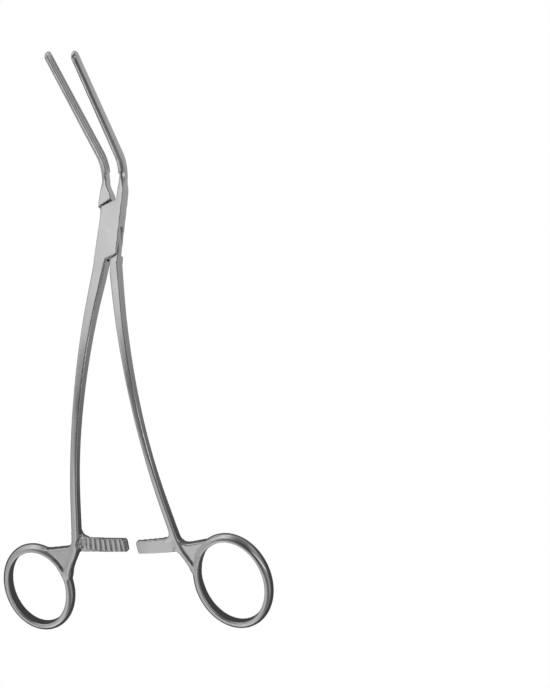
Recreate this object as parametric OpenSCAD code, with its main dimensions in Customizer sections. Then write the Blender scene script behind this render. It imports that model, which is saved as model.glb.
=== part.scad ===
// Ring handled vascular clamp with a box lock, a finger ratchet and long jaws bent out of the closing plane.
// Frame: +X is the closing direction, +Y runs to the jaws, +Z is up from the surface the clamp rests on.
// The origin is the centre of the rivet's upper end on the box lock.
// Both halves are drawn closed, round the rivet's axis, and each is then turned by half the opening.

/* [Pose] */
// Angle between the two halves in the pose drawn, counted from the closed clamp
open_angle = 9.3; // [2:0.2:30]
// Widest angle that the slot of the box lock lets the halves open to
widest_angle = 36; // [32:1:44]

/* [Box lock] */
// Width of the box across the plates
lock_w = 9.5; // [8.6:0.1:11]
// Thickness of the box from plate to plate
lock_t = 5.6; // [5:0.1:7]
// Distance from the rivet's axis to the slanted shoulders
shoulder_r = 10.7; // [9.5:0.1:12]
// Slant of the shoulders against the closing direction
shoulder_slant = 28; // [22:1:34]
// Thickness of the tongue that passes through the box
tongue_t = 2.2; // [1.8:0.1:2.6]
// Half width of the tongue beside the rivet
tongue_half_w = 4.2; // [3.6:0.1:4.4]
// Slant of the tongue's edges against the long axis
tongue_slant = 16.5; // [14:0.5:20]
// Diameter of the rivet
pin_d = 3; // [2:0.1:4]
// Running clearance of the tongue on the rivet, on the radius
pin_clear = 0.04; // [0.02:0.01:0.08]
// Clearance of the tongue in the slot, on each face
slot_clear = 0.06; // [0.04:0.01:0.15]
// Gap left at the shoulders of the closed clamp
shoulder_gap = 0.12; // [0.1:0.01:0.3]

/* [Jaws] */
// Length of a jaw from the corner of the bend to the tip
jaw_len = 68.4; // [50:0.5:90]
// Width of the grasping face
jaw_w = 4.4; // [3.8:0.1:5]
// Thickness of a jaw at its tip
jaw_tip_t = 2.4; // [1.8:0.1:2.8]
// Thickness of a jaw at its heel
jaw_heel_t = 3; // [2.4:0.1:3.4]
// Angle of the jaws out of the closing plane
jaw_bend = 60; // [40:1:75]
// Radius of the bend at the middle of the jaw
bend_r = 12.4; // [10:0.2:16]
// Distance from the rivet's axis to the corner of the bend
bend_y = 26.7; // [25:0.1:30]
// Gap left between the heels when the tips meet
heel_gap = 1.1; // [0.6:0.1:1.6]
// Width of the neck between box and jaw
neck_w = 2.6; // [2:0.1:3]
// Half of the gap between the two necks of the closed clamp
neck_gap = 1; // [0.9:0.1:1.6]

/* [Serration] */
// Pitch of the fine teeth along a jaw
tooth_pitch = 0.65; // [0.55:0.05:1.2]
// Depth of the grooves beside the rib
groove_d = 0.35; // [0.2:0.05:0.5]
// Depth of the fine teeth
tooth_d = 0.14; // [0.08:0.02:0.2]
// Width of the middle rib
rib_w = 1.1; // [0.8:0.05:1.4]
// Width of each groove beside the rib
groove_w = 0.7; // [0.5:0.05:0.9]

/* [Shanks] */
// Width of the slim part of the shank that carries the box
box_shank_w = 3.4; // [2.6:0.1:4.4]
// Width of the slim part of the shank that carries the tongue
tongue_shank_w = 2.9; // [2.4:0.1:4]
// Thickness of the slim part of both shanks
shank_t = 3.9; // [3:0.1:5]
// Width of the shank root below the box
box_root_w = 5.3; // [4.2:0.1:5.6]
// Width of the shank root below the tongue
tongue_root_w = 4.1; // [3.4:0.1:4.6]
// Angle between each shank and the long axis of the closed clamp
shank_splay = 5.2; // [4:0.1:6.5]
// Length of handle from the rivet to where it starts to curve
straight_len = 26; // [20:1:40]
// Radius of the handle's curve out of the closing plane
handle_r = 145; // [120:5:220]
// Angle of the handle's curve out of the closing plane
handle_bend = 34.4; // [15:0.2:40]

/* [Finger rings] */
// Width of the hole in the ring of the box half
thumb_w = 25.2; // [20:0.2:28]
// Length of the hole in the ring of the box half
thumb_l = 31.6; // [26:0.2:36]
// Width of the hole in the ring of the tongue half
finger_w = 27.4; // [20:0.2:30]
// Length of the hole in the ring of the tongue half
finger_l = 35.2; // [28:0.2:38]
// Radial width of a ring's band
ring_w = 3.15; // [2.6:0.05:4]
// Depth of a ring's band
ring_t = 5; // [4:0.1:6.5]
// Distance from the long axis of the closed clamp to the middle of each ring
ring_x = 32; // [28:0.1:36]
// Length of handle from the rivet to the far end of both rings
ring_end = 169.8; // [164:0.2:176]

/* [Ratchet] */
// Length of handle from the rivet to the middle of the ratchet bars
ratchet_s = 130.2; // [128:0.2:134]
// Height of a ratchet bar along the handle
bar_h = 5.6; // [4:0.1:6]
// Thickness of a ratchet bar with its teeth
bar_t = 2.1; // [1.7:0.1:2.4]
// Reach of the long bar from the middle of its shank
long_bar = 22.4; // [16:0.1:22.8]
// Reach of the short bar from the middle of its shank
short_bar = 17.4; // [9:0.1:18.4]
// Pitch of the ratchet teeth
ratchet_pitch = 2.3; // [1.8:0.1:3]
// Height of the ratchet teeth
ratchet_d = 0.7; // [0.4:0.05:1]
// Gap between the teeth of the two bars
bar_gap = 0.12; // [0.08:0.02:0.4]

/* [Hidden] */
steel = "#b4b7ba";
bright_steel = "#c9ccce";
// Side of the long axis on which each half has its shank; its jaw lies on the other side
BOX = -1;
TONGUE = 1;

// Handle: end of the curve along the handle and in the frame
curve_end = straight_len + handle_r * handle_bend * PI / 180;
curve_y = -(straight_len + handle_r * sin(handle_bend));
curve_z = -handle_r * (1 - cos(handle_bend));

// Bend of the jaw: where it starts and where it ends along the jaw
bend_start = bend_y - bend_r * tan(jaw_bend / 2);
bend_arc = bend_r * jaw_bend * PI / 180;
jaw_end = bend_start + bend_arc + jaw_len - bend_r * tan(jaw_bend / 2);
// The pad starts low in the bend
pad_start = bend_start + 0.34 * bend_arc;

// Lying at rest: the far ends of both rings and the outer side of the bend touch one plane
ring_nose = ring_t / 2;
nose_s = ring_end - ring_nose - curve_end;
nose_y = curve_y - nose_s * cos(handle_bend);
nose_z = curve_z - nose_s * sin(handle_bend);
heel_r = bend_r + jaw_w / 2;
span = norm([bend_start - nose_y, bend_r - nose_z]);
rest_tilt = acos((heel_r - ring_nose) / span) - atan2(bend_start - nose_y, bend_r - nose_z);
echo(rest_tilt = rest_tilt);

function mix(a, b, t) = a + (b - a) * t;
function clamp01(t) = max(0, min(1, t));
function ease(t) = let(c = clamp01(t)) c * c * (3 - 2 * c);

// A point of the handle: x across, s along the handle from the rivet, n out of its plane
function curve_at(s) = handle_bend * clamp01((s - straight_len) / (curve_end - straight_len));
function handle_point(x, s, n) =
    let(a = curve_at(s), past = max(0, s - curve_end), near = min(s, straight_len))
    [x,
     -near - handle_r * sin(a) - past * cos(a) - n * sin(a),
     -handle_r * (1 - cos(a)) - past * sin(a) + n * cos(a)];

// A point of the jaw: x across, s along the jaw from the rivet, n towards the inner side of the bend
function bend_at(s) = jaw_bend * clamp01((s - bend_start) / bend_arc);
function jaw_point(x, s, n) =
    let(a = bend_at(s), past = max(0, s - bend_start - bend_arc), near = min(s, bend_start))
    [x,
     near + (bend_r - n) * sin(a) + past * cos(a),
     bend_r - (bend_r - n) * cos(a) + past * sin(a)];

// Bar with eight flats: half width, half thickness and the share of the corner that is bevelled
function bar_section(hw, ht, bevel) =
    let(c = bevel * min(hw, ht))
    [[hw, c - ht], [hw, ht - c], [hw - c, ht], [c - hw, ht],
     [-hw, ht - c], [-hw, c - ht], [c - hw, -ht], [hw - c, -ht]];

// Solid through a row of sections that have equally many points, each running counterclockwise
// when it is seen from the far end of the row; closed rows form a ring
module loft(rows, closed = false) {
    k = len(rows[0]);
    m = len(rows);
    last = closed ? m - 1 : m - 2;
    sides = [for (i = [0:last]) for (j = [0:k - 1])
        let(a = i * k, b = ((i + 1) % m) * k, q = (j + 1) % k)
        each [[a + j, b + j, b + q], [a + j, b + q, a + q]]];
    caps = closed ? [] : [[for (j = [0:k - 1]) j], [for (j = [k - 1:-1:0]) (m - 1) * k + j]];
    polyhedron(points = [for (r = rows) each r], faces = concat(sides, caps), convexity = 6);
}

// Shank of one half; it starts inside the root, where the slot ends
lock_end = 13.5;
shank_start = lock_end - 1.5;
slim_s = 88;
shank_x0 = 0.5;
end_drop = 5;
function root_w(half) = half == BOX ? box_root_w : tongue_root_w;
function slim_w(half) = half == BOX ? box_shank_w : tongue_shank_w;
function hole_w(half) = half == BOX ? thumb_w : finger_w;
function hole_l(half) = half == BOX ? thumb_l : finger_l;
function ring_s(half) = ring_end - ring_w - hole_l(half) / 2;
// Half axes of the middle of a ring's band
function band_a(half) = (hole_w(half) + ring_w) / 2;
function band_b(half) = (hole_l(half) + ring_w) / 2;
function shank_end(half) = ring_s(half) - end_drop;
function band_x(half, s) = ring_x - band_a(half) * sqrt(1 - pow((ring_s(half) - s) / band_b(half), 2));
// The root is flush with the side of the box on the half that carries it
function root_shift(half) = half == BOX ? (lock_w - box_root_w) / 2 - shank_x0 - lock_end * tan(shank_splay) : 0;
function shank_share(s) = clamp01((s - lock_end) / (slim_s - lock_end));
function shank_x(half, s) =
    let(from = ratchet_s - bar_h,
        t = ease((s - from) / (shank_end(half) - from)),
        line = shank_x0 + s * tan(shank_splay) + root_shift(half) * pow(1 - shank_share(s), 2))
    mix(line, band_x(half, shank_end(half)), t * t);
function shank_width(half, s) = mix(root_w(half), slim_w(half), 1 - pow(1 - shank_share(s), 1.8));
function shank_thick(s) =
    mix(lock_t, shank_t, 1 - pow(1 - shank_share(s), 1.6))
    + (ring_t - shank_t) * 0.6 * ease((s - slim_s) / (ratchet_s - slim_s));

// Line between the two roots of the closed clamp, from the shoulders to where the shanks part by themselves
split_s = 11.5;
split_end_s = 17.4;
split_x = 0.5;
split_end_x = 0.1;
split_gap = 0.06;
function split_at(s) = mix(split_x, split_end_x, clamp01((s - split_s) / (split_end_s - split_s)));
function split_edge(half, s, x) = half == BOX ? min(x, split_at(s) - split_gap) : max(x, split_at(s) + split_gap);

shank_rows = 26;
root_bevel = 0.12;
shank_bevel = 0.5;
module shank(half) {
    end = shank_end(half);
    loft([for (i = [0:shank_rows])
        let(s = mix(shank_start, end, i / shank_rows),
            hw = shank_width(half, s) / 2 - 0.02,
            ht = shank_thick(s) / 2 - 0.02,
            bevel = mix(root_bevel, shank_bevel, ease((s - lock_end) / lock_end)))
        [for (p = bar_section(hw, ht, bevel)) handle_point(split_edge(half, s, half * shank_x(half, s) + p.x), s, p.y)]]);
}

// Finger ring: flat inside, round outside
ring_rows = 48;
function ring_section() =
    let(r = ring_t / 2, flat = ring_w / 2 - r, inner = -ring_w / 2, soft = 0.5)
    [[inner + soft, -r],
     for (a = [-90:30:90]) [flat + r * cos(a), r * sin(a)],
     [inner + soft, r], [inner, r - soft], [inner, soft - r]];
module finger_ring(half) {
    a = band_a(half);
    b = band_b(half);
    loft([for (i = [0:ring_rows - 1])
        let(t = -360 * (i + 0.5) / ring_rows,
            middle = [a * cos(t), b * sin(t)],
            out = [b * cos(t), a * sin(t)] / norm([b * cos(t), a * sin(t)]))
        [for (p = ring_section())
            handle_point(half * ring_x + middle.x + p.x * out.x, ring_s(half) - middle.y - p.x * out.y, p.y)]],
        closed = true);
}

// Frame of the flat end of the handle: +y towards the rivet, z out of the handle's plane
module flat_handle() {
    translate([0, curve_y, curve_z]) rotate([handle_bend, 0, 0]) children();
}

// Web that fills the corner between shank and ring
web_r = 3.2;
web_t = 3.6;
web_s = ratchet_s + 1;
module ring_web(half) {
    s0 = ratchet_s - bar_h;
    s1 = ring_s(half);
    w = slim_w(half) / 2;
    rows = [for (i = [0:8]) mix(s0, shank_end(half), i / 8)];
    flat_handle() linear_extrude(height = web_t, center = true) intersection() {
        translate([half * (ring_x - ring_w - hole_w(half) / 2 + 4), curve_end - s1 + hole_l(half) / 2])
            square([16, 22], center = true);
        difference() {
            offset(r = -web_r) offset(delta = web_r) {
                polygon(concat(
                    [for (s = rows) [half * (shank_x(half, s) - w), curve_end - s]],
                    [for (i = [8:-1:0]) [half * (shank_x(half, rows[i]) + w), curve_end - rows[i]]]));
                translate([half * ring_x, curve_end - s1])
                    scale([band_a(half) + 0.8, band_b(half) + 0.8]) circle(r = 1, $fn = 72);
                // Gusset along the tangent from the ring's top to the shank
                polygon([[half * shank_x(half, web_s), curve_end - web_s],
                         [half * shank_x(half, web_s + 6), curve_end - web_s - 6],
                         for (a = [60, 20]) [half * (ring_x - (band_a(half) + 0.8) * sin(a)),
                                             curve_end - s1 + (band_b(half) + 0.8) * cos(a)]]);
            }
            translate([half * ring_x, curve_end - s1])
                scale([hole_w(half) / 2 + 0.3, hole_l(half) / 2 + 0.3]) circle(r = 1, $fn = 72);
        }
    }
}

// Ratchet bars are sectors round the rivet's axis, so that they pass each other with an even gap
ratchet_y = -curve_y + (ratchet_s - curve_end) * cos(handle_bend);
ratchet_z = curve_z - (ratchet_s - curve_end) * sin(handle_bend);
function cone_z(r) = ratchet_z - (r - ratchet_y) * tan(handle_bend);
// How far the sectors lie behind the handle's plane at a distance from the long axis
function cone_sag(x) = (norm([ratchet_y, x]) - ratchet_y) * sin(handle_bend);
function bar_reach(half) = half == BOX ? long_bar : short_bar;
function bar_root(half) = half * shank_x(half, ratchet_s);
function bar_tip(half) = bar_root(half) - half * bar_reach(half);

// Sector between two distances from the long axis, between two heights over the cone
module bar_sector(x0, x1, low, high) {
    reach = (bar_h / 2 + bar_t) * cos(handle_bend);
    r0 = ratchet_y - reach;
    r1 = ratchet_y + reach;
    lift = 1 / cos(handle_bend);
    a0 = asin(x0 / ratchet_y);
    a1 = asin(x1 / ratchet_y);
    rotate([0, 0, a0 - 90]) rotate_extrude(angle = a1 - a0, $fn = 720)
        polygon([[r0, cone_z(r0) + low * lift], [r1, cone_z(r1) + low * lift],
                 [r1, cone_z(r1) + high * lift], [r0, cone_z(r0) + high * lift]]);
}

// Frame of a place on a bar: y along the handle, z out of the cone
module on_bar(x) {
    rotate([0, 0, asin(x / ratchet_y)]) translate([0, -ratchet_y, ratchet_z]) rotate([handle_bend, 0, 0]) children();
}

// One tooth: its steep side looks back to its own shank
tooth_flat = 0.4;
tooth_steep = 0.25;
module ratchet_tooth(half) {
    tip_n = bar_gap / 2;
    root_n = tip_n + ratchet_d;
    rotate([90, 0, 0]) linear_extrude(height = bar_h, center = true)
        polygon([for (p = [[0, root_n + 0.1], [0, root_n], [tooth_steep, tip_n], [tooth_steep + tooth_flat, tip_n],
                           [ratchet_pitch, root_n], [ratchet_pitch, root_n + 0.1]]) [-half * p.x, -half * -p.y]]);
}

bar_corner = 1.2;
module ratchet_bar(half) {
    body = [bar_gap / 2 + ratchet_d, bar_gap / 2 + bar_t];
    x0 = min(bar_root(half), bar_tip(half));
    x1 = max(bar_root(half), bar_tip(half));
    steps = floor((bar_reach(half) - slim_w(half) / 2 - 1) / ratchet_pitch);
    // Long bar behind, with its teeth to the front; short bar in front, with its teeth to the back
    intersection() {
        union() {
            bar_sector(x0, x1, half == BOX ? -body[1] : body[0], half == BOX ? -body[0] : body[1]);
            for (i = [1:steps]) on_bar(bar_tip(half) + half * i * ratchet_pitch) ratchet_tooth(half);
        }
        on_bar(bar_tip(half)) linear_extrude(height = 3 * ring_t, center = true) bar_shape(half);
    }
}
// Outline of a bar with rounded corners at its tip
module bar_shape(half) {
    h = bar_h / 2 + 0.4;
    c = bar_corner;
    polygon([for (k = [-1, 1]) for (a = [0:15:90])
        let(t = k < 0 ? a : 90 - a)
        [half * (c - c * sin(t)), k * (bar_h / 2 - c + c * cos(t) + 0.001)],
        [half * (bar_reach(half) + 2), h], [half * (bar_reach(half) + 2), -h]]);
}

// Round corner between shank and bar, on the side of the jaws and on the side of the ring
bar_fillet_r = 2.6;
bar_foot_r = 1.4;
module bar_fillet(half) {
    for (side = [[1, bar_fillet_r], [-1, bar_foot_r]]) {
        r = side[1];
        s = ratchet_s - side[0] * (bar_h / 2 + r / 2);
        x = half * (shank_x(half, s) - slim_w(half) / 2);
        y = curve_end - ratchet_s + side[0] * bar_h / 2 * 0.98;
        n = bar_gap / 2 + bar_t / 2 + 0.25;
        flat_handle() translate([0, 0, half * n]) linear_extrude(height = bar_t - 0.3, center = true)
            polygon(concat([[x + half, y - side[0]], [x + half, y + side[0] * r]],
                           [for (a = [0:15:90]) [x - half * (r - r * cos(a)), y + side[0] * (r - r * sin(a))]],
                           [[x - half * r, y - side[0]]]));
    }
}

// Round recess in the shank's inner edge, which lets the tip of the other bar pass
recess_r = 3.4;
recess_d = 1.1;
module bar_recess(half) {
    x = half * (shank_x(half, ratchet_s) - slim_w(half) / 2);
    low = -cone_sag(x) - bar_gap / 2;
    flat_handle() translate([x - half * (recess_r - recess_d), curve_end - ratchet_s, half == BOX ? low : low + bar_gap])
        mirror([0, 0, half == BOX ? 0 : 1]) cylinder(r = recess_r, h = ring_t, $fn = 64);
}

// Box lock, drawn flat round the rivet
shoulder_n = [-sin(shoulder_slant), cos(shoulder_slant)];
function shoulder_point(x, gap) = [x, (shoulder_r + gap - shoulder_n.x * x) / shoulder_n.y];
lock_hw = lock_w / 2;
// Where the two halves part above and below the rivet
part_x = 1;
part_gap = 0.3;
part_s = 14;
neck_s = 16;
flare_s = 11;
tongue_taper = 0.3;
root_taper = 0.8;
box_taper = 0.6;
function neck_out(half) = neck_gap + neck_w + (half == BOX ? 0.3 : 0);
// Outer edge of a half from the box to the neck
function flare_x(half, s) =
    mix(lock_hw - (half == BOX ? box_taper : tongue_taper), neck_out(half) + 0.1,
        ease((s - flare_s) / (neck_s + 1.5 - flare_s)));
// Inner edge of a half above the box; the tongue reaches past the long axis
function part_edge(half, s) =
    let(t = ease((s - part_s) / (bend_start + 0.5 - part_s)))
    mix(half == BOX ? part_x + part_gap / 2 : part_gap / 2 - part_x, neck_gap, t);

// Rows of the head's edges, from the box to the neck
function head_rows(low) = [for (i = [0:6]) mix(low, neck_s, i / 6)];
// Outer edge of a shank's root, and the width of its end
function root_x(half) = half * shank_x(half, lock_end);
function root_hw(half) = shank_width(half, lock_end) / 2;
function root_edge(half) = shank_x(half, lock_end) + root_hw(half);

// Box seen from the front, from shoulder to shoulder, with its head on the right and its root on the left
module box_outline() {
    up_outer = shoulder_point(-lock_hw, 0);
    up_inner = shoulder_point(part_edge(BOX, 0), 0);
    rows = head_rows(flare_s);
    inner_rows = head_rows(up_inner.y + 0.2);
    polygon(concat(
        [[root_x(BOX) - root_hw(BOX), -lock_end], [split_edge(BOX, lock_end, root_x(BOX) + root_hw(BOX)), -lock_end],
         -shoulder_point(split_gap - split_x, 0), -up_outer],
        [for (y = rows) [flare_x(BOX, y), y]],
        [for (i = [6:-1:0]) [part_edge(BOX, inner_rows[i]), inner_rows[i]]],
        [up_inner, up_outer, [-lock_hw, -lock_end * 0.75]]));
}

// Head of the tongue half, above the box, on the left
module tongue_head() {
    up_outer = shoulder_point(-lock_hw, shoulder_gap);
    up_inner = shoulder_point(-part_edge(TONGUE, 0), shoulder_gap);
    rows = head_rows(flare_s);
    inner_rows = head_rows(up_inner.y + 0.2);
    polygon(concat([up_outer, up_inner],
                   [for (y = inner_rows) [-part_edge(TONGUE, y), y]],
                   [for (i = [6:-1:0]) [-flare_x(TONGUE, rows[i]), rows[i]]]));
}

// Root of the tongue half, below the box, on the right; it ends flush with the shank's first section
module tongue_root() {
    polygon([-shoulder_point(root_taper - lock_hw, shoulder_gap), -shoulder_point(-split_gap - split_x, shoulder_gap),
             [split_edge(TONGUE, lock_end, root_x(TONGUE) - root_hw(TONGUE)), -lock_end], [root_edge(TONGUE), -lock_end]]);
}

// Outline of both halves round the rivet
module lock_window() {
    rows = head_rows(flare_s);
    polygon(concat([[-lock_hw, -flare_s], [-root_edge(BOX), slot_clear - shank_start], [root_edge(TONGUE), slot_clear - shank_start],
                    [lock_hw - root_taper, -flare_s * 0.7], [lock_hw - root_taper, 0]],
                   [for (s = rows) [flare_x(BOX, s), s]],
                   [for (i = [6:-1:0]) [-flare_x(TONGUE, rows[i]), rows[i]]]));
}

// Region that the tongue sweeps in the slot, from closed to widest: its edges cross at the two waist corners
module slot_sweep() {
    r = tongue_half_w + slot_clear;
    reach = 30;
    a0 = tongue_slant;
    a1 = tongue_slant + widest_angle;
    side0 = r * [cos(a0), sin(a0)];
    side1 = r * [cos(a1), sin(a1)];
    along0 = reach * [-sin(a0), cos(a0)];
    along1 = reach * [-sin(a1), cos(a1)];
    waist = (side0 + side1) / (1 + cos(widest_angle));
    polygon([side0 + along0, waist, side1 - along1, -side0 - along0, -waist, along1 - side1]);
}

module box_body() {
    difference() {
        linear_extrude(height = lock_t, center = true) box_outline();
        linear_extrude(height = tongue_t + 2 * slot_clear, center = true) slot_sweep();
        cylinder(d = pin_d, h = lock_t + 2, center = true, $fn = 96);
    }
}

module tongue_body() {
    difference() {
        union() {
            linear_extrude(height = tongue_t, center = true) intersection() {
                rotate(tongue_slant) square([2 * tongue_half_w, 5 * lock_w], center = true);
                lock_window();
            }
            linear_extrude(height = lock_t, center = true) {
                tongue_head();
                tongue_root();
            }
        }
        cylinder(d = pin_d + 2 * pin_clear, h = lock_t + 2, center = true, $fn = 96);
    }
}

// Jaw: a D section with a flat grasping face, which carries ribs and grooves
chamfer = 0.35;
box_groove = rib_w + 0.2;
box_rib_w = groove_w - 0.3;
ledge = 0.15;
jaw_share = 1 / (jaw_end - pad_start);
function jaw_thick(s) = mix(jaw_heel_t, jaw_tip_t, clamp01((s - pad_start) * jaw_share));
function face_x(s) = mix(heel_gap / 2, 0.1, clamp01((s - pad_start) * jaw_share));
// Depth of the grooves fades out at the tip and at the heel
function groove_at(s) = groove_d * min(clamp01((s - pad_start - 0.4) / 1.6), clamp01((jaw_end - 2.2 - s) / 1.6));
// Face from one edge to the other, as depth and place across, on a jaw of full width
function face_places(half) =
    let(foot = 0.12, rib = rib_w / 2, rail = rib_w / 2 + groove_w)
    half == TONGUE
    ? [[0, -rail], [1, foot - rail], [1, -rib - foot], [0, -rib], [0, rib], [1, rib + foot], [1, rail - foot], [0, rail]]
    : [[0, -box_groove / 2], [1, foot - box_groove / 2], [1, box_groove / 2 - foot], [0, box_groove / 2]];
function face_outline(half, h, g) =
    concat([[0, chamfer - h]], [for (p = face_places(half)) [p.x * g, p.y * 2 * h / jaw_w]], [[0, h - chamfer]]);
function jaw_section(half, t, h, g, round) =
    let(back = [[t, mix(h, h * 0.2, round)], [mix(t, t * 0.86, round), mix(h, h * 0.62, round)],
                [mix(t, t * 0.45, round), h], [chamfer, h]])
    concat([for (p = back) [p.x, -p.y]], face_outline(half, h, g), [for (i = [3:-1:0]) back[i]]);

tip_len = 2;
module jaw(half) {
    side = -half;
    rows = concat(
        [for (i = [0:5]) mix(neck_s - 1, bend_start, i / 5)],
        [for (i = [1:3]) mix(bend_start, pad_start - 0.1, i / 3)],
        [pad_start + 0.2, pad_start + 0.9, pad_start + 2.2],
        [for (i = [1:6]) mix(pad_start + 2.2, bend_start + bend_arc, i / 6)],
        [for (i = [1:5]) mix(bend_start + bend_arc, jaw_end - 3, i / 5)],
        [jaw_end - 2.2, jaw_end - 1.5, jaw_end - 0.9, jaw_end - 0.4, jaw_end - 0.1]);
    loft([for (s = rows)
        let(heel = clamp01((s - pad_start + 0.1) / 0.3),
            body = ease((s - neck_s) / (bend_start + bend_arc - neck_s)),
            slim = ease((s - neck_s) / (bend_start + 2 - neck_s)),
            nose = sqrt(1 - pow(clamp01((s - jaw_end + tip_len) / tip_len), 2)),
            x_in = s < bend_start ? part_edge(half, s) + 0.02 : mix(neck_gap, face_x(s), heel),
            x_out = s < bend_start ? flare_x(half, s) - 0.02 : mix(neck_out(half), face_x(s) + jaw_thick(s), body),
            t = (x_out - x_in) * mix(0.3, 1, nose),
            h = mix(lock_t / 2 - 0.02, jaw_w / 2, slim) * mix(0.35, 1, nose),
            section = jaw_section(half, t, h, groove_at(s), mix(0.1, 1, slim)),
            last = len(section) - 1)
        [for (j = [0:last])
            let(p = section[side > 0 ? j : last - j])
            jaw_point(side * (x_in + p.x), s, p.y)]]);
}

// Row of fine teeth along a land of the grasping face
teeth_start = bend_start + bend_arc;
teeth_end = jaw_end - 3;
teeth_n = floor((teeth_end - teeth_start) / tooth_pitch);
tooth_foot = 0.08;
module tooth_row(half, middle, width) {
    side = -half;
    last = 2 * teeth_n;
    crest = [for (i = [0:last])
        let(s = teeth_start + i * tooth_pitch / 2)
        [side * (face_x(s) - tooth_foot - (i % 2 == 1 ? tooth_d : 0)), s - teeth_start]];
    sunk = side * (face_x(teeth_start) + groove_d);
    translate([0, bend_start + bend_r * sin(jaw_bend), bend_r * (1 - cos(jaw_bend))])
        rotate([jaw_bend, 0, 0]) translate([0, 0, middle]) linear_extrude(height = width, center = true)
        polygon(concat(crest, [[sunk, crest[last].y], [sunk, 0]]));
}

// Shank, bar and ring of a half as one surface
module handle(half) {
    resize([0, 0, 0]) {
        difference() {
            union() {
                shank(half);
                finger_ring(half);
                ring_web(half);
                bar_fillet(half);
            }
            bar_recess(half);
        }
        ratchet_bar(half);
    }
}

module box_half_flat() {
    box_body();
    handle(BOX);
    jaw(BOX);
    for (side = [-1, 1]) tooth_row(BOX, side * ((box_groove + box_rib_w) / 2 + ledge), box_rib_w);
}

module tongue_half_flat() {
    tongue_body();
    handle(TONGUE);
    jaw(TONGUE);
    tooth_row(TONGUE, 0, rib_w - 2 * ledge);
}

// From the rivet's frame, with both halves closed, to the frame of the clamp lying at rest
module at_rest(half) {
    rotate([-rest_tilt, 0, 0]) translate([0, 0, -lock_t / 2]) rotate([0, 0, half * open_angle / 2]) children();
}

module box_half() {
    color(steel) at_rest(BOX) box_half_flat();
}
module tongue_half() {
    color(bright_steel) at_rest(TONGUE) tongue_half_flat();
}
module pivot_pin() {
    color(bright_steel) at_rest(BOX) cylinder(d = pin_d, h = lock_t, center = true, $fn = 96);
}

box_half();
tongue_half();
pivot_pin();
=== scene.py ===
import logging
from dataclasses import dataclass, field
from enum import Enum
from math import asin, cos, pi, radians, sin, sqrt, tan
from typing import Callable, Sequence

import bpy
from mathutils import Matrix, Vector


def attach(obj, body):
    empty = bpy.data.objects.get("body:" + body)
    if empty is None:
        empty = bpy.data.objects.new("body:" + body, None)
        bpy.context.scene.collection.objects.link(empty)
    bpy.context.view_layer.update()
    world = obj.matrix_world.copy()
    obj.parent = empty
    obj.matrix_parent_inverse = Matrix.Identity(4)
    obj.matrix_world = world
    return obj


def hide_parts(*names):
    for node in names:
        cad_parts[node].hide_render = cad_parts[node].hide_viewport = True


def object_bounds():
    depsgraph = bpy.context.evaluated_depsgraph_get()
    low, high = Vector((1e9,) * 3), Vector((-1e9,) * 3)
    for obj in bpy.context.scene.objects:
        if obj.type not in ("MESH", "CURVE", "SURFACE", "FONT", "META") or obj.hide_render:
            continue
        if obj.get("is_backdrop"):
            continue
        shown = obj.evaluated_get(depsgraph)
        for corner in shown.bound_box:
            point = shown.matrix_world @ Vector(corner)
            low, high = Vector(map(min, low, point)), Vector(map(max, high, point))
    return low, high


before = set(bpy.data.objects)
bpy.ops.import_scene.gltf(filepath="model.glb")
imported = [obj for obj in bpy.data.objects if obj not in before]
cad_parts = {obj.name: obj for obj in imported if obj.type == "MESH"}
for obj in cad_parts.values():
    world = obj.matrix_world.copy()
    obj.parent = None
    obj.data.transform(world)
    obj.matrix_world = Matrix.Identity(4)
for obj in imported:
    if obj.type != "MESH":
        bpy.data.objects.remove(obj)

LOG = logging.getLogger("clamp")
MM = 0.001
Point = tuple[float, float, float]
Flat = tuple[float, float]


class Side(Enum):
    """Side of the long axis on which a half has its shank; its jaw lies on the other side."""

    BOX = -1
    TONGUE = 1

    @property
    def node(self) -> str:
        """Name of the half's node in the solid model."""
        return "box_half" if self is Side.BOX else "tongue_half"

    @property
    def body(self) -> str:
        """Name of the body that the half rides on."""
        return "box_side" if self is Side.BOX else "tongue_side"


def mix(a: float, b: float, t: float) -> float:
    """Value between a and b at share t."""
    return a + (b - a) * t


def clamp01(t: float) -> float:
    """Share t held between 0 and 1."""
    return max(0.0, min(1.0, t))


def ease(t: float) -> float:
    """Share t with a soft start and a soft end."""
    c = clamp01(t)
    return c * c * (3 - 2 * c)


@dataclass(frozen=True)
class Sizes:
    """Sizes of the clamp in millimetres and degrees, as the solid model has them."""

    open_angle: float = 9.3
    tilt: float = 17.9188
    lock_w: float = 9.5
    lock_t: float = 5.6
    tongue_t: float = 2.2
    slot_clear: float = 0.06
    pin_d: float = 3.0
    pin_clear: float = 0.04
    jaw_len: float = 68.4
    jaw_w: float = 4.4
    jaw_tip_t: float = 2.4
    jaw_heel_t: float = 3.0
    jaw_bend: float = 60.0
    bend_r: float = 12.4
    bend_y: float = 26.7
    heel_gap: float = 1.1
    tip_gap: float = 0.2
    neck_w: float = 2.6
    neck_gap: float = 1.0
    tooth_pitch: float = 0.65
    groove_d: float = 0.35
    tooth_d: float = 0.14
    rib_w: float = 1.1
    groove_w: float = 0.7
    shank_t: float = 3.9
    shank_splay: float = 5.2
    straight_len: float = 26.0
    handle_r: float = 145.0
    handle_bend: float = 34.4
    ring_w: float = 3.15
    ring_t: float = 5.0
    ring_x: float = 32.0
    ring_end: float = 169.8
    ratchet_s: float = 130.2
    bar_h: float = 5.6
    bar_gap: float = 0.12
    ratchet_pitch: float = 2.3
    ratchet_d: float = 0.7
    tooth_steep: float = 0.25
    tooth_flat: float = 1.2
    lock_end: float = 13.5
    split_s: float = 11.5
    split_end_s: float = 17.4
    split_x: float = 0.5
    split_end_x: float = 0.1
    split_gap: float = 0.06
    slim_s: float = 88.0
    recess_r: float = 3.4
    recess_d: float = 1.1


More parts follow.
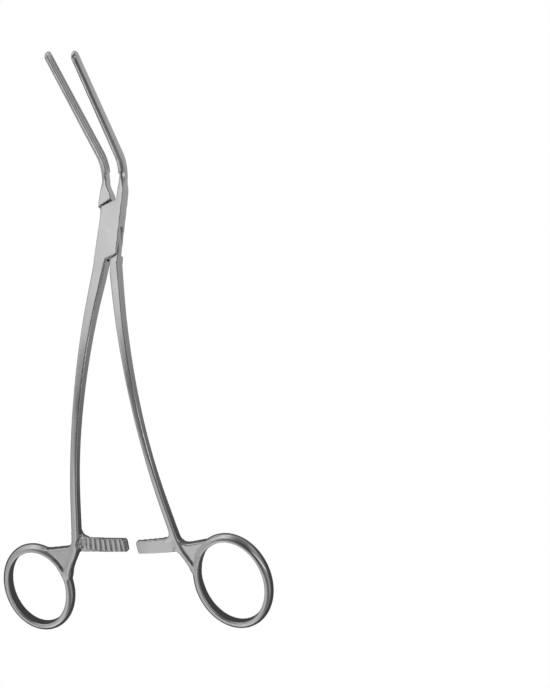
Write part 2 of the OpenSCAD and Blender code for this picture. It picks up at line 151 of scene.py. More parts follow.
@dataclass(frozen=True)
class HalfSizes:
    """Sizes that differ between the two halves, in millimetres."""

    shank_w: float
    root_w: float
    hole_w: float
    hole_l: float
    bar: float


HALVES: dict[Side, HalfSizes] = {
    Side.BOX: HalfSizes(shank_w=3.4, root_w=5.3, hole_w=25.2, hole_l=31.6, bar=22.4),
    Side.TONGUE: HalfSizes(shank_w=2.9, root_w=4.1, hole_w=27.4, hole_l=35.2, bar=17.4),
}


@dataclass
class Layout:
    """Curves of one half, drawn closed round the rivet's axis and then laid at rest."""

    side: Side
    dim: Sizes = field(default_factory=Sizes)

    def __post_init__(self) -> None:
        dim = self.dim
        self.h: HalfSizes = HALVES[self.side]
        self.curve_end: float = dim.straight_len + dim.handle_r * radians(dim.handle_bend)
        self.bend_start: float = dim.bend_y - dim.bend_r * tan(radians(dim.jaw_bend) / 2)
        self.bend_arc: float = dim.bend_r * radians(dim.jaw_bend)
        straight = dim.jaw_len - dim.bend_r * tan(radians(dim.jaw_bend) / 2)
        self.jaw_end: float = self.bend_start + self.bend_arc + straight
        self.pad_start: float = self.bend_start + 0.34 * self.bend_arc
        self.ring_s: float = dim.ring_end - dim.ring_w - self.h.hole_l / 2
        self.band: Flat = ((self.h.hole_w + dim.ring_w) / 2, (self.h.hole_l + dim.ring_w) / 2)
        self.shank_end: float = self.ring_s - 5.0

    def rest(self, p: Point) -> Point:
        """Point of the closed half in the frame of the clamp lying at rest.

        Args:
            p: Point in millimetres, with the origin in the middle of the rivet.

        Returns:
            The point in metres.
        """
        dim = self.dim
        turn = Matrix.Rotation(radians(self.side.value * dim.open_angle / 2), 4, "Z")
        drop = Matrix.Translation((0, 0, -dim.lock_t / 2))
        lean = Matrix.Rotation(radians(-dim.tilt), 4, "X")
        return tuple((lean @ drop @ turn @ Vector(p)) * MM)

    def handle_point(self, x: float, s: float, n: float) -> Point:
        """Point x across the handle, s along it from the rivet and n out of its plane."""
        dim = self.dim
        a = radians(dim.handle_bend) * clamp01((s - dim.straight_len) / (self.curve_end - dim.straight_len))
        past, near = max(0.0, s - self.curve_end), min(s, dim.straight_len)
        return (x, -near - dim.handle_r * sin(a) - past * cos(a) - n * sin(a),
                -dim.handle_r * (1 - cos(a)) - past * sin(a) + n * cos(a))

    def jaw_point(self, x: float, s: float, n: float) -> Point:
        """Point x across the jaw, s along it from the rivet and n towards the inner side of its bend."""
        dim = self.dim
        a = radians(dim.jaw_bend) * clamp01((s - self.bend_start) / self.bend_arc)
        past, near = max(0.0, s - self.bend_start - self.bend_arc), min(s, self.bend_start)
        arm = dim.bend_r - n
        return (x, near + arm * sin(a) + past * cos(a), dim.bend_r - arm * cos(a) + past * sin(a))

    def shank_share(self, s: float) -> float:
        """Share of the way from the lock to the slim part of the shank."""
        return clamp01((s - self.dim.lock_end) / (self.dim.slim_s - self.dim.lock_end))

    def shank_x(self, s: float) -> float:
        """Distance of the shank's middle from the long axis at s."""
        dim, splay = self.dim, tan(radians(self.dim.shank_splay))
        start = dim.ratchet_s - dim.bar_h
        t = ease((s - start) / (self.shank_end - start))
        shift = (dim.lock_w - self.h.root_w) / 2 - 0.5 - dim.lock_end * splay if self.side is Side.BOX else 0.0
        line = 0.5 + s * splay + shift * (1 - self.shank_share(s)) ** 2
        band = dim.ring_x - self.band[0] * sqrt(1 - ((self.ring_s - self.shank_end) / self.band[1]) ** 2)
        return mix(line, band, t * t)

    def shank_width(self, s: float) -> float:
        """Width of the shank at s."""
        return mix(self.h.root_w, self.h.shank_w, 1 - (1 - self.shank_share(s)) ** 1.8)

    def shank_thick(self, s: float) -> float:
        """Thickness of the shank at s."""
        dim = self.dim
        grow = (dim.ring_t - dim.shank_t) * 0.6 * ease((s - dim.slim_s) / (dim.ratchet_s - dim.slim_s))
        return mix(dim.lock_t, dim.shank_t, 1 - (1 - self.shank_share(s)) ** 1.6) + grow

    def split_edge(self, s: float, x: float) -> float:
        """Place x across the root, held back from the line that parts the two roots of the closed clamp."""
        dim = self.dim
        line = mix(dim.split_x, dim.split_end_x, clamp01((s - dim.split_s) / (dim.split_end_s - dim.split_s)))
        return min(x, line - dim.split_gap) if self.side is Side.BOX else max(x, line + dim.split_gap)

    def jaw_share(self, s: float) -> float:
        """Share of the way from the start of the grasping face to the tip."""
        return clamp01((s - self.pad_start) / (self.jaw_end - self.pad_start))

    def jaw_thick(self, s: float) -> float:
        """Thickness of the jaw behind its face at s."""
        return mix(self.dim.jaw_heel_t, self.dim.jaw_tip_t, self.jaw_share(s))

    def face_x(self, s: float) -> float:
        """Distance of the grasping face from the long axis of the closed clamp at s."""
        return mix(self.dim.heel_gap / 2, self.dim.tip_gap / 2, self.jaw_share(s))

    def on_flat(self, x: float, y: float, n: float) -> Point:
        """Point of the flat end of the handle: x across, y along it and n out of its plane."""
        return self.handle_point(x, self.curve_end - y, n)


class Workshop:
    """Turns rows of points into mesh objects with Blender's modelling operators."""

    @staticmethod
    def pick(*objs: bpy.types.Object) -> None:
        """Select only these objects; the first one becomes the active one."""
        bpy.ops.object.select_all(action="DESELECT")
        for obj in objs:
            obj.select_set(True)
        bpy.context.view_layer.objects.active = objs[0]

    @classmethod
    def loft(cls, name: str, rows: Sequence[Sequence[Point]], closed: bool = False) -> bpy.types.Object:
        """Skin over a row of sections that have equally many points.

        Args:
            name: Name of the new object.
            rows: Sections in metres, each running once round.
            closed: Whether the last section joins the first one.

        Returns:
            A closed mesh with its faces outward.
        """
        ring = [list(r) + [r[0]] for r in rows]
        if closed:
            ring.append(ring[0])
        bpy.ops.object.select_all(action="DESELECT")
        bpy.ops.mesh.primitive_grid_add(x_subdivisions=len(ring[0]) - 1, y_subdivisions=len(ring) - 1)
        obj = bpy.context.object
        obj.name = obj.data.name = name
        obj.matrix_world = Matrix.Identity(4)
        flat = [c for r in ring for p in r for c in p]
        obj.data.vertices.foreach_set("co", flat)
        obj.data.update()
        bpy.ops.object.mode_set(mode="EDIT")
        bpy.ops.mesh.select_all(action="SELECT")
        bpy.ops.mesh.remove_doubles(threshold=1e-7)
        if not closed:
            bpy.ops.mesh.fill_holes(sides=0)
        bpy.ops.mesh.select_all(action="SELECT")
        bpy.ops.mesh.normals_make_consistent(inside=False)
        bpy.ops.object.mode_set(mode="OBJECT")
        return obj

    @classmethod
    def prism(cls, name: str, outline: Sequence[Flat], low: float, high: float,
              place: Callable[[float, float, float], Point]) -> bpy.types.Object:
        """Solid between two copies of an outline.

        Args:
            name: Name of the new object.
            outline: Corners of the outline in millimetres.
            low: Height of the lower end.
            high: Height of the upper end.
            place: Gives the place in metres of a point of the outline at a height.

        Returns:
            A closed mesh with its faces outward.
        """
        bpy.ops.object.select_all(action="DESELECT")
        bpy.ops.mesh.primitive_circle_add(vertices=len(outline), fill_type="NGON")
        obj = bpy.context.object
        obj.name = obj.data.name = name
        obj.matrix_world = Matrix.Identity(4)
        for v, (x, y) in zip(obj.data.vertices, outline):
            v.co = (x, y, low)
        bpy.ops.object.mode_set(mode="EDIT")
        bpy.ops.mesh.select_all(action="SELECT")
        bpy.ops.mesh.extrude_region_move(TRANSFORM_OT_translate={"value": (0, 0, high - low)})
        bpy.ops.object.mode_set(mode="OBJECT")
        for v in obj.data.vertices:
            v.co = place(*v.co)
        bpy.ops.object.mode_set(mode="EDIT")
        bpy.ops.mesh.select_all(action="SELECT")
        bpy.ops.mesh.normals_make_consistent(inside=False)
        bpy.ops.object.mode_set(mode="OBJECT")
        return obj

    @classmethod
    def copy_node(cls, node: str, name: str) -> bpy.types.Object:
        """Welded copy of a node of the solid model."""
        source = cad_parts[node]
        obj = bpy.data.objects.new(name, source.data.copy())
        bpy.context.scene.collection.objects.link(obj)
        obj.data.materials.clear()
        cls.pick(obj)
        bpy.ops.object.mode_set(mode="EDIT")
        bpy.ops.mesh.select_all(action="SELECT")
        bpy.ops.mesh.remove_doubles(threshold=1e-7)
        bpy.ops.mesh.normals_make_consistent(inside=False)
        bpy.ops.object.mode_set(mode="OBJECT")
        return obj

    @classmethod
    def join(cls, *objs: bpy.types.Object) -> bpy.types.Object:
        """Join the objects into the first one."""
        cls.pick(*objs)
        bpy.ops.object.join()
        return bpy.context.object

    @classmethod
    def forge(cls, obj: bpy.types.Object, voxel: float, rounds: int) -> None:
        """Melt overlapping solids into one skin and soften its edges.

        Args:
            obj: Object with the overlapping closed meshes.
            voxel: Grid of the new skin in millimetres.
            rounds: Rounds of smoothing.
        """
        cls.pick(obj)
        bpy.ops.object.modifier_add(type="REMESH")
        skin = obj.modifiers[-1]
        skin.mode, skin.voxel_size = "VOXEL", voxel * MM
        bpy.ops.object.modifier_apply(modifier=skin.name)
        bpy.ops.object.modifier_add(type="SMOOTH")
        soft = obj.modifiers[-1]
        soft.factor, soft.iterations = 0.5, rounds
        bpy.ops.object.modifier_apply(modifier=soft.name)

    @classmethod
    def soften(cls, obj: bpy.types.Object, places: Sequence[tuple[Point, float]], rounds: int) -> None:
        """Smooth the skin round some places.

        Args:
            obj: Object to smooth.
            places: Middle of each place in metres and its radius in millimetres.
            rounds: Rounds of smoothing.
        """
        group = obj.vertex_groups.new(name="soft")
        for middle, radius in places:
            spot = Vector(middle)
            for v in obj.data.vertices:
                near = 1 - (v.co - spot).length / (radius * MM)
                if near > 0:
                    group.add([v.index], ease(1.6 * near), "REPLACE")
        cls.pick(obj)
        bpy.ops.object.modifier_add(type="SMOOTH")
        soft = obj.modifiers[-1]
        soft.factor, soft.iterations, soft.vertex_group = 0.5, rounds, group.name
        bpy.ops.object.modifier_apply(modifier=soft.name)
        obj.vertex_groups.clear()

    @classmethod
    def cut(cls, obj: bpy.types.Object, *cutters: bpy.types.Object) -> None:
        """Take the cutters, which don't touch each other, out of the object."""
        cutter = cls.join(*cutters)
        cls.pick(obj)
        bpy.ops.object.modifier_add(type="BOOLEAN")
        knife = obj.modifiers[-1]
        knife.operation, knife.solver, knife.object = "DIFFERENCE", "EXACT", cutter
        bpy.ops.object.modifier_apply(modifier=knife.name)
        bpy.data.objects.remove(cutter)

    @classmethod
    def shade(cls, obj: bpy.types.Object, angle: float) -> None:
        """Shade smooth, apart from edges sharper than the angle in degrees."""
        cls.pick(obj)
        bpy.ops.object.shade_smooth_by_angle(angle=radians(angle))


def rounded(hw: float, ht: float, r: float, steps: int = 6) -> list[Flat]:
    """Rectangle with round corners, by half width, half thickness and corner radius."""
    out: list[Flat] = []
    for k, (cx, cy) in enumerate(((hw - r, ht - r), (r - hw, ht - r), (r - hw, r - ht), (hw - r, r - ht))):
        out += [(cx + r * cos(pi / 2 * (k + i / steps)), cy + r * sin(pi / 2 * (k + i / steps)))
                for i in range(steps + 1)]
    return out


@dataclass(frozen=True)
class SteelFinish:
    """Polished or satin stainless steel: brush lines, handling marks and slow waves of hand polishing."""

    name: str
    colour: tuple[float, float, float]
    roughness: float
    spread: float
    bump: float
    waves: float = 0.6

    def build(self) -> bpy.types.Material:
        """Make the material's nodes.

        Returns:
            A material on object coordinates.
        """
        mat = bpy.data.materials.new(self.name)
        mat.use_nodes = True
        tree = mat.node_tree
        tree.nodes.clear()
        new, link = tree.nodes.new, tree.links.new
        out, shader = new("ShaderNodeOutputMaterial"), new("ShaderNodeBsdfPrincipled")
        where = new("ShaderNodeTexCoord")
        shader.inputs["Metallic"].default_value = 1.0
        cloud = self.noise(tree, where, (1, 1, 1), 260.0, 3.0)
        grain = self.noise(tree, where, (1, 0.12, 1), 5200.0, 2.0)
        wave = self.noise(tree, where, (1, 1, 1), 60.0, 0.0)
        tone = new("ShaderNodeValToRGB")
        tone.color_ramp.elements[0].position, tone.color_ramp.elements[1].position = 0.25, 0.75
        tone.color_ramp.elements[0].color = tuple(c * 0.94 for c in self.colour) + (1,)
        tone.color_ramp.elements[1].color = self.colour + (1,)
        rough = new("ShaderNodeMapRange")
        rough.inputs["To Min"].default_value = self.roughness - self.spread
        rough.inputs["To Max"].default_value = self.roughness + self.spread
        bend, bump = new("ShaderNodeBump"), new("ShaderNodeBump")
        bend.inputs["Strength"].default_value = 1.0
        bend.inputs["Distance"].default_value = self.waves * MM
        bump.inputs["Strength"].default_value = self.bump
        bump.inputs["Distance"].default_value = 0.02 * MM
        link(cloud.outputs["Fac"], tone.inputs["Fac"])
        link(tone.outputs["Color"], shader.inputs["Base Color"])
        link(grain.outputs["Fac"], rough.inputs["Value"])
        link(rough.outputs["Result"], shader.inputs["Roughness"])
        link(grain.outputs["Fac"], bump.inputs["Height"])
        link(wave.outputs["Fac"], bend.inputs["Height"])
        link(bend.outputs["Normal"], bump.inputs["Normal"])
        link(bump.outputs["Normal"], shader.inputs["Normal"])
        link(shader.outputs["BSDF"], out.inputs["Surface"])
        return mat

    @staticmethod
    def noise(tree: bpy.types.NodeTree, where: bpy.types.Node, stretch: Point, scale: float,
              detail: float) -> bpy.types.Node:
        """Noise on stretched object coordinates."""
        place, noise = tree.nodes.new("ShaderNodeMapping"), tree.nodes.new("ShaderNodeTexNoise")
        place.inputs["Scale"].default_value = stretch
        noise.inputs["Scale"].default_value, noise.inputs["Detail"].default_value = scale, detail
        tree.links.new(where.outputs["Object"], place.inputs["Vector"])
        tree.links.new(place.outputs["Vector"], noise.inputs["Vector"])
        return noise


SATIN = SteelFinish("satin_steel_finish", (0.70, 0.70, 0.71), 0.19, 0.03, 0.2)
BRIGHT = SteelFinish("bright_steel_finish", (0.74, 0.74, 0.75), 0.2, 0.03, 0.2)
TOOTHED = SteelFinish("toothed_steel_finish", (0.66, 0.66, 0.67), 0.3, 0.05, 0.3)


@dataclass
class ForgedHalf:
    """One forged half: shank, ring, ratchet bar, part of the lock and jaw in one skin."""

    layout: Layout
    finish: bpy.types.Material
    voxel: float = 0.28
    edge: float = 0.35
    nose_len: float = 2.0
    nose_t: float = 0.3
    nose_h: float = 0.35
    neck_s: float = 16.0
    plug_r: float = 2.25

    def build(self) -> bpy.types.Object:
        """Make the half in place of its node.

        Returns:
            The half's object.
        """
        side = self.layout.side
        node = Workshop.copy_node(side.node, side.node + "_forged")
        half = Workshop.join(node, self.shank(), self.ring(), self.jaw(), *self.plugs(), *self.teeth())
        Workshop.forge(half, self.voxel, 4)
        Workshop.soften(half, self.soft_places(), 40)
        Workshop.cut(half, *self.tooth_gaps())
        Workshop.cut(half, self.bore(), self.face())
        Workshop.shade(half, 35)
        half.data.materials.append(self.finish)
        LOG.info("%s: %d vertices", half.name, len(half.data.vertices))
        return half

    def shank(self) -> bpy.types.Object:
        """Shank with rounded edges, from the lock to the ring."""
        lay, rows = self.layout, []
        for i in range(91):
            s = mix(lay.dim.lock_end - 0.4, lay.shank_end, i / 90)
            hw, ht = lay.shank_width(s) / 2, lay.shank_thick(s) / 2
            r = mix(0.3, 0.7, ease((s - 45) / 60)) * min(hw, ht)
            middle = lay.side.value * lay.shank_x(s)
            section = [(lay.split_edge(s, middle + u), v) for u, v in rounded(hw, ht, r)]
            rows.append([lay.rest(lay.handle_point(u, s, v)) for u, v in section])
        shank = Workshop.loft("shank", rows)
        Workshop.cut(shank, self.recess())
        return shank

    def ring(self) -> bpy.types.Object:
        """Finger ring, flat inside and round outside."""
        lay, dim = self.layout, self.layout.dim
        a, b = lay.band
        r, soft, corner = dim.ring_t / 2, 0.5, 0.15
        flat, inner = dim.ring_w / 2 - r, -dim.ring_w / 2
        back = [(flat + r * cos(radians(t)), r * sin(radians(t))) for t in range(-90, 91, 10)]
        section = [(inner + soft, -r)] + back + [(inner + soft, r), (inner + corner, r - corner)]
        section += [(inner, r - soft), (inner, soft - r), (inner + corner, corner - r)]
        rows = []
        for i in range(160):
            t = 2 * pi * i / 160
            long = sqrt((b * cos(t)) ** 2 + (a * sin(t)) ** 2)
            ox, oy = b * cos(t) / long, a * sin(t) / long
            rows.append([lay.rest(lay.handle_point(lay.side.value * dim.ring_x + a * cos(t) + p[0] * ox,
                                               lay.ring_s - b * sin(t) - p[0] * oy, p[1])) for p in section])
        return Workshop.loft("ring", rows, closed=True)

    def jaw_half_height(self, s: float, nose: float) -> float:
        """Half of the jaw's width at s."""
        lay = self.layout
        slim = ease((s - self.neck_s) / (lay.bend_start + 2 - self.neck_s))
        return mix(lay.dim.lock_t / 2, lay.dim.jaw_w / 2, slim) * mix(self.nose_h, 1, nose)

    def jaw(self) -> bpy.types.Object:
        """Jaw from the bend to the tip, with a rounded back."""
        lay, rows = self.layout, []
        neck_out = lay.dim.neck_gap + lay.dim.neck_w + (0.3 if lay.side is Side.BOX else 0)
        last = lay.bend_start + lay.bend_arc
        nose_s, edge = lay.jaw_end - self.nose_len, self.edge
        stops = [mix(lay.pad_start + 0.25, nose_s, i / 90) for i in range(91)]
        stops += [nose_s + (self.nose_len - 0.03) * sin(pi / 2 * i / 14) for i in range(1, 15)]
        for s in stops:
            nose = sqrt(max(0.0, 1 - clamp01((s - nose_s) / self.nose_len) ** 2))
            bend = ease((s - self.neck_s) / (last - self.neck_s))
            out = mix(neck_out, lay.face_x(s) + lay.jaw_thick(s), bend)
            start = mix(0.6, 1, ease((s - lay.pad_start) / 8))
            t = (out - lay.face_x(s)) * mix(self.nose_t, 1, nose) * start
            h = self.jaw_half_height(s, nose) * start
            back = [(t * cos(radians(q)) ** 0.8, h * sin(radians(q)) ** 0.9) for q in range(0, 81, 8)]
            back.append((edge, h))
            section = [(0.0, edge - h)] + [(u, -v) for u, v in reversed(back)] + back[1:] + [(0.0, h - edge)]
            place = [(-lay.side.value * (lay.face_x(s) + u), v) for u, v in section]
            rows.append([lay.rest(lay.jaw_point(u, s, v)) for u, v in place])
        return Workshop.loft("jaw", rows)

    def soft_places(self) -> list[tuple[Point, float]]:
        """Places where the forging flows together: web, end of the shank and neck of the right jaw."""
        lay, dim, k = self.layout, self.layout.dim, self.layout.side.value
        spots = ((6.0, 4.0, 9.0), (12.0, 2.5, 6.0))
        web = [(lay.shank_x(dim.ratchet_s + d) + e, dim.ratchet_s + d, r) for d, e, r in spots]
        end = [(lay.shank_x(s), s, 5.0) for s in (lay.shank_end - 2, lay.shank_end + 2)]
        flow = [(lay.rest(lay.handle_point(k * x, s, 0.0)), r) for x, s, r in web + end]
        if lay.side is Side.BOX:
            flow.append((lay.rest(lay.jaw_point(-k * 2.6, lay.pad_start - 0.2, 2.0)), 3.0))
        return flow

    def disc(self, name: str, r: float, low: float, high: float) -> bpy.types.Object:
        """Disc round the rivet's axis."""
        outline = [(r * cos(2 * pi * i / 96), r * sin(2 * pi * i / 96)) for i in range(96)]
        return Workshop.prism(name, outline, low, high, lambda a, b, c: self.layout.rest((a, b, c)))

    def plugs(self) -> list[bpy.types.Object]:
        """Metal that closes the bore until it is drilled anew with a sharp edge."""
        dim = self.layout.dim
        if self.layout.side is Side.TONGUE:
            return [self.disc("plug", self.plug_r, -dim.tongue_t / 2, dim.tongue_t / 2)]
        slot, plate = dim.tongue_t / 2 + dim.slot_clear, dim.lock_t / 2
        return [self.disc("plug", self.plug_r, slot, plate), self.disc("plug", self.plug_r, -plate, -slot)]

    def bore(self) -> bpy.types.Object:
        """Cutter for the rivet's bore."""
        dim = self.layout.dim
        r = dim.pin_d / 2 + (dim.pin_clear if self.layout.side is Side.TONGUE else 0.002)
        return self.disc("bore", r, -dim.lock_t, dim.lock_t)

    def recess(self) -> bpy.types.Object:
        """Cutter for the round recess beside the root of the bar."""
        lay, dim, k = self.layout, self.layout.dim, self.layout.side.value
        x = k * (lay.shank_x(dim.ratchet_s) - lay.h.shank_w / 2)
        ratchet_y = dim.straight_len + dim.handle_r * sin(radians(dim.handle_bend))
        ratchet_y += (dim.ratchet_s - lay.curve_end) * cos(radians(dim.handle_bend))
        sag = (sqrt(ratchet_y ** 2 + x ** 2) - ratchet_y) * sin(radians(dim.handle_bend))
        low = -sag + k * (dim.bar_gap / 2 + 0.1)
        centre = x - k * (dim.recess_r - dim.recess_d)
        along = lay.curve_end - dim.ratchet_s
        outline = [(centre + dim.recess_r * cos(radians(a)), along + dim.recess_r * sin(radians(a)))
                   for a in range(0, 360, 5)]
        return Workshop.prism("recess", outline, min(low, low - k * dim.ring_t), max(low, low - k * dim.ring_t),
                              lambda a, b, c: lay.rest(lay.on_flat(a, b, c)))

    def along_bar(self, name: str, outline: Sequence[Flat], reach: float,
                  first: int = 1) -> list[bpy.types.Object]:
        """Prisms across the bar, one for each of its teeth from the first one on.

        Args:
            name: Name of the new objects.
            outline: Corners in millimetres, along the bar from the tooth's steep side and out of its plane.
            reach: Half of the prisms' length across the bar.
            first: Number of the first tooth, counted from the bar's end.

        Returns:
            The prisms, from the tip to the root.
        """
        lay, dim, k = self.layout, self.layout.dim, self.layout.side.value
        foot = lay.shank_x(dim.ratchet_s)
        middle = lay.handle_point(0, dim.ratchet_s, 0)
        lean = Matrix.Translation(middle) @ Matrix.Rotation(radians(dim.handle_bend), 4, "X")
        out = []
        for i in range(first, int((lay.h.bar - lay.h.shank_w / 2 - 1) / dim.ratchet_pitch) + 1):
            swing = asin(k * (lay.h.bar - foot - i * dim.ratchet_pitch) / middle[1])
            spot = Matrix.Rotation(swing, 4, "Z") @ lean
            out.append(Workshop.prism(name, [(-k * a, k * b) for a, b in outline], -reach, reach,
                                      lambda a, b, c, m=spot: lay.rest(tuple(m @ Vector((a, c, b))))))
        return out

    def teeth(self) -> list[bpy.types.Object]:
        """Full teeth, laid over those of the node; the first one keeps the rounded end of the bar."""
        dim = self.layout.dim
        top, root = dim.bar_gap / 2, dim.bar_gap / 2 + dim.ratchet_d
        end = dim.tooth_steep + dim.tooth_flat
        outline = [(0.0, root + 0.3), (0.0, root), (dim.tooth_steep, top), (end, top),
                   (dim.ratchet_pitch, root), (dim.ratchet_pitch, root + 0.3)]
        return self.along_bar("tooth", outline, dim.bar_h / 2 - 0.2, 2)

    def tooth_gaps(self) -> list[bpy.types.Object]:
        """Cutters that give the teeth crisp edges."""
        dim = self.layout.dim
        top, root = dim.bar_gap / 2, dim.bar_gap / 2 + dim.ratchet_d + 0.05
        first, last = dim.tooth_steep + dim.tooth_flat, dim.ratchet_pitch + dim.tooth_steep
        outline = [(first, top), (dim.ratchet_pitch, root), (last, top), (last, top - 0.8), (first, top - 0.8)]
        return self.along_bar("gap", outline, dim.bar_h / 2 + 0.6)

    def face(self) -> bpy.types.Object:
        """Cutter that makes room for the pad on the grasping face."""
        lay, rows = self.layout, []
        for i in range(101):
            s = mix(lay.pad_start + 0.35, lay.jaw_end - 1.3, i / 100)
            h = self.jaw_half_height(s, 1.0) - 0.37
            rows.append([lay.rest(lay.jaw_point(-lay.side.value * (lay.face_x(s) + u), s, v))
                         for u, v in ((-0.5, -h), (0.55, -h), (0.55, h), (-0.5, h))])
        return Workshop.loft("face", rows)


@dataclass
class JawPad:
    """Grasping face of one jaw: rails, grooves and ribs with fine teeth across them."""

    layout: Layout
    finish: bpy.types.Material
    steps: int = 6

    def profile(self) -> list[tuple[float, float, bool]]:
        """Places across the face with the share of the groove's depth and whether teeth are cut there."""
        dim = self.layout.dim
        rib, rail, foot = dim.rib_w / 2, dim.rib_w / 2 + dim.groove_w, 0.1
        edge = dim.jaw_w / 2 - 0.36
        if self.layout.side is Side.TONGUE:
            half = [(0.0, 0.0, True), (rib - 0.12, 0.0, True), (rib, 0.0, False), (rib + foot, 1.0, False),
                    (rail - foot, 1.0, False), (rail, 0.0, False), (edge, 0.0, False)]
        else:
            gap = rib + 0.1
            half = [(0.0, 1.0, False), (gap - foot, 1.0, False), (gap, 0.0, False), (gap + 0.14, 0.0, True),
                    (gap + 0.54, 0.0, True), (gap + 0.66, 0.0, False), (edge, 0.0, False)]
        return [(-p, d, t) for p, d, t in reversed(half[1:])] + half

    def build(self) -> bpy.types.Object:
        """Make the pad.

        Returns:
            The pad's object.
        """
        lay, dim, side = self.layout, self.layout.dim, self.layout.side
        first, last = lay.pad_start + 0.35, lay.jaw_end - 1.3
        count = int((last - first) / dim.tooth_pitch) * self.steps
        shape, rows = self.profile(), []
        for i in range(count + 1):
            s = first + (last - first) * i / count
            phase = (i % self.steps) / self.steps
            fade = min(clamp01((s - first - 1) / 0.5), clamp01((last - 0.9 - s) / 0.5))
            tooth = dim.tooth_d * (1 - abs(2 * phase - 1)) * fade
            deep = dim.groove_d * min(clamp01((s - first - 0.3) / 1.6), clamp01((last - 0.9 - s) / 1.6))
            top = [(deep * d + (tooth if t else 0.0), p) for p, d, t in shape]
            back = [(0.8, shape[-1][0]), (0.8, shape[0][0])]
            place = [(-side.value * (lay.face_x(s) + u), v) for u, v in top + back]
            rows.append([lay.rest(lay.jaw_point(u, s, v)) for u, v in place])
        pad = Workshop.loft(side.node + "_jaw_face", rows)
        Workshop.shade(pad, 20)
        pad.data.materials.append(self.finish)
        LOG.info("%s: %d vertices", pad.name, len(pad.data.vertices))
        return pad


@dataclass
class Rivet:
    """Rivet of the box lock, ground flush with both plates."""

    layout: Layout
    finish: bpy.types.Material

    def build(self) -> bpy.types.Object:
        """Make the rivet with broken edges.

        Returns:
            The rivet's object.
        """
        dim = self.layout.dim
        r, half, edge = dim.pin_d / 2, dim.lock_t / 2, 0.03
        profile = ((0.6 * r, -half), (r - edge, -half), (r, edge - half), (r, 0.0), (r, half - edge),
                   (r - edge, half), (0.6 * r, half))
        turns = [2 * pi * i / 96 for i in range(96)]
        rows = [[self.layout.rest((radius * cos(a), radius * sin(a), height)) for a in turns]
                for radius, height in profile]
        rivet = Workshop.loft("rivet", rows)
        Workshop.shade(rivet, 35)
        rivet.data.materials.append(self.finish)
        LOG.info("%s: %d vertices", rivet.name, len(rivet.data.vertices))
        return rivet


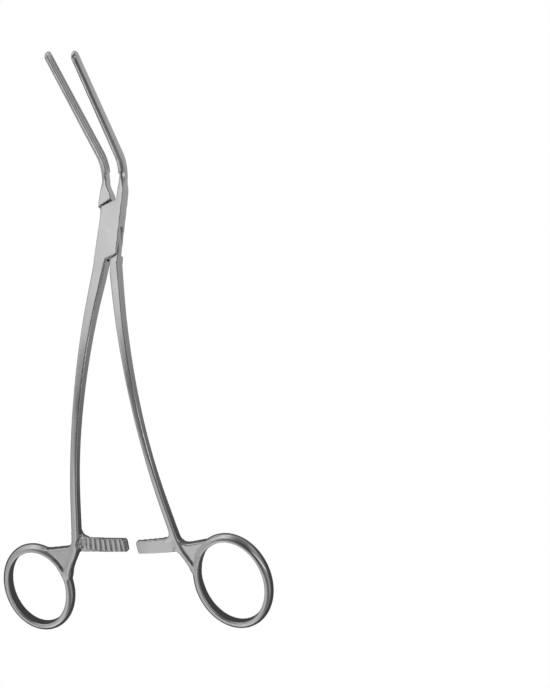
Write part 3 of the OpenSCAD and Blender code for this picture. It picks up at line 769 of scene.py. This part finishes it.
@dataclass(frozen=True)
class Studio:
    """Camera, soft lights, world and floor round the clamp."""

    across: float = 24.6
    below: float = -10.4
    roll: float = 3.8
    distance: float = 6.0
    pixel: float = 0.0004017
    rivet_at: Flat = (111.3, 231.5)
    middle: Flat = (275.0, 344.0)
    sensor: float = 24.0
    floor_light: Flat = (0.07, 0.5)
    by_height: tuple[Flat, ...] = ((-1.0, 0.3), (-0.15, 0.5), (-0.03, 1.5), (0.15, 1.5), (0.3, 1.05),
                                   (0.83, 1.0), (0.9, 0.28), (1.0, 0.28))
    by_side: tuple[Flat, ...] = ((-1.0, 0.35), (-0.8, 0.5), (-0.46, 0.5), (-0.36, 0.74), (-0.1, 0.62),
                                 (0.1, 0.3), (0.3, 0.16), (0.62, 0.16), (0.72, 0.34), (0.84, 0.34),
                                 (0.9, 0.2), (1.0, 0.2))

    def axes(self) -> tuple[Vector, Vector, Vector]:
        """Right, up and backward directions of the camera in the frame at rest."""
        p, e, r = radians(self.across), radians(self.below), radians(self.roll)
        back = Vector((sin(p) * cos(e), sin(e), cos(p) * cos(e)))
        right = Vector((cos(p), 0, -sin(p)))
        up = back.cross(right)
        lean = Matrix.Rotation(radians(-Sizes().tilt), 3, "X")
        return lean @ (right * cos(r) + up * sin(r)), lean @ (up * cos(r) - right * sin(r)), lean @ back

    def camera(self) -> None:
        """Place the camera so that the rivet falls on its place in a frame of 550 x 688."""
        right, up, back = self.axes()
        lean = Matrix.Rotation(radians(-Sizes().tilt), 3, "X")
        pivot = lean @ Vector((0, 0, -Sizes().lock_t / 2 * MM))
        across, down = (m - at for m, at in zip(self.middle, self.rivet_at))
        target = pivot + right * across * self.pixel - up * down * self.pixel
        turn = Matrix((right, up, back)).transposed()
        data = bpy.data.cameras.new("camera")
        data.sensor_fit, data.sensor_height = "VERTICAL", self.sensor
        data.lens = self.sensor * self.distance / (2 * self.middle[1] * self.pixel)
        data.clip_end = 100.0
        cam = bpy.data.objects.new("camera", data)
        bpy.context.scene.collection.objects.link(cam)
        cam.matrix_world = Matrix.Translation(target + back * self.distance) @ turn.to_4x4()
        bpy.context.scene.camera = cam

    def light(self, name: str, place: Point, size: Flat, power: float) -> None:
        """Add a soft light that looks at the clamp.

        Args:
            name: Name of the light.
            place: Where it stands, in metres.
            size: Its two sides in metres.
            power: Its power in watts.
        """
        data = bpy.data.lights.new(name, "AREA")
        data.shape, data.size, data.size_y, data.energy = "RECTANGLE", size[0], size[1], power
        lamp = bpy.data.objects.new(name, data)
        bpy.context.scene.collection.objects.link(lamp)
        aim = Vector((0.02, -0.05, 0.0)) - Vector(place)
        lamp.matrix_world = Matrix.Translation(place) @ aim.to_track_quat("-Z", "Y").to_matrix().to_4x4()

    def world(self) -> None:
        """White for the camera, and a soft dome with a dark horizon for the steel."""
        world = bpy.data.worlds.new("studio")
        world.use_nodes = True
        tree = world.node_tree
        tree.nodes.clear()
        new, link = tree.nodes.new, tree.links.new
        out, path, pick = new("ShaderNodeOutputWorld"), new("ShaderNodeLightPath"), new("ShaderNodeMixShader")
        white, dome = new("ShaderNodeBackground"), new("ShaderNodeBackground")
        where, split, both = new("ShaderNodeTexCoord"), new("ShaderNodeSeparateXYZ"), new("ShaderNodeMix")
        white.inputs["Color"].default_value = (1, 1, 1, 1)
        both.data_type, both.blend_type = "RGBA", "MULTIPLY"
        both.inputs["Factor"].default_value = 1.0
        link(where.outputs["Generated"], split.inputs["Vector"])
        factors = (("Z", self.by_height, both.inputs[6]), ("X", self.by_side, both.inputs[7]))
        for axis, stops, socket in factors:
            span, ramp = new("ShaderNodeMapRange"), new("ShaderNodeValToRGB")
            span.inputs["From Min"].default_value = -1.0
            for k, (at, grey) in enumerate(stops):
                stop = ramp.color_ramp.elements[k] if k < 2 else ramp.color_ramp.elements.new((at + 1) / 2)
                stop.position, stop.color = (at + 1) / 2, (grey, grey, grey, 1)
            link(split.outputs[axis], span.inputs["Value"])
            link(span.outputs["Result"], ramp.inputs["Fac"])
            link(ramp.outputs["Color"], socket)
        link(both.outputs[2], dome.inputs["Color"])
        link(path.outputs["Is Camera Ray"], pick.inputs["Fac"])
        link(dome.outputs["Background"], pick.inputs[1])
        link(white.outputs["Background"], pick.inputs[2])
        link(pick.outputs["Shader"], out.inputs["Surface"])
        bpy.context.scene.world = world

    def floor(self) -> None:
        """Floor that the camera looks through to the white world; for the steel it glows like a backdrop, with
        painted shade that makes it darker under the rings.
        """
        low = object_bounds()[0][2]
        bpy.ops.object.select_all(action="DESELECT")
        bpy.ops.mesh.primitive_grid_add(x_subdivisions=8, y_subdivisions=8, size=6.0, location=(0, 0, low))
        ground = bpy.context.object
        ground.name = "floor"
        mat = bpy.data.materials.new("floor_glow_with_painted_shade")
        mat.use_nodes = True
        tree = mat.node_tree
        tree.nodes.clear()
        new, link = tree.nodes.new, tree.links.new
        out, path = new("ShaderNodeOutputMaterial"), new("ShaderNodeLightPath")
        pick, clear = new("ShaderNodeMixShader"), new("ShaderNodeBsdfTransparent")
        floor_glow, where, split = new("ShaderNodeEmission"), new("ShaderNodeTexCoord"), new("ShaderNodeSeparateXYZ")
        ramp, span = new("ShaderNodeValToRGB"), new("ShaderNodeMapRange")
        # Painted shade: the glow the steel sees is dark (0.07) under the rings and pale (0.5) elsewhere.
        span.inputs["From Min"].default_value, span.inputs["From Max"].default_value = -0.13, 0.03
        for stop, grey in zip(ramp.color_ramp.elements, self.floor_light):
            stop.color = (grey, grey, grey, 1)
        link(where.outputs["Object"], split.inputs["Vector"])
        link(split.outputs["Y"], span.inputs["Value"])
        link(span.outputs["Result"], ramp.inputs["Fac"])
        link(ramp.outputs["Color"], floor_glow.inputs["Color"])
        link(path.outputs["Is Camera Ray"], pick.inputs["Fac"])
        link(floor_glow.outputs["Emission"], pick.inputs[1])
        link(clear.outputs["BSDF"], pick.inputs[2])
        link(pick.outputs["Shader"], out.inputs["Surface"])
        ground.data.materials.append(mat)
        ground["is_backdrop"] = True

    def build(self) -> None:
        """Set the whole stage."""
        self.camera()
        self.world()
        self.floor()
        self.light("key", (-0.9, 0.9, 1.6), (1.6, 1.6), 2.0)
        self.light("strip", (1.3, -0.2, 1.0), (0.3, 1.6), 1.2)
        bpy.context.scene.view_settings.view_transform = "Standard"
        LOG.info("studio set")


def main() -> None:
    """Build the clamp's pieces, place them on their bodies and set the studio."""
    logging.basicConfig(level=logging.INFO, format="%(name)s: %(message)s")
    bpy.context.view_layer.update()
    satin, bright, toothed = SATIN.build(), BRIGHT.build(), TOOTHED.build()
    for side in Side:
        layout = Layout(side)
        half = ForgedHalf(layout, satin).build()
        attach(half, side.body)
        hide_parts(side.node)
        pad = JawPad(layout, toothed).build()
        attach(pad, side.body)
    rivet = Rivet(Layout(Side.BOX), bright).build()
    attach(rivet, Side.BOX.body)
    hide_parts("pivot_pin")
    Studio().build()


if __name__ == "__main__":
    main()
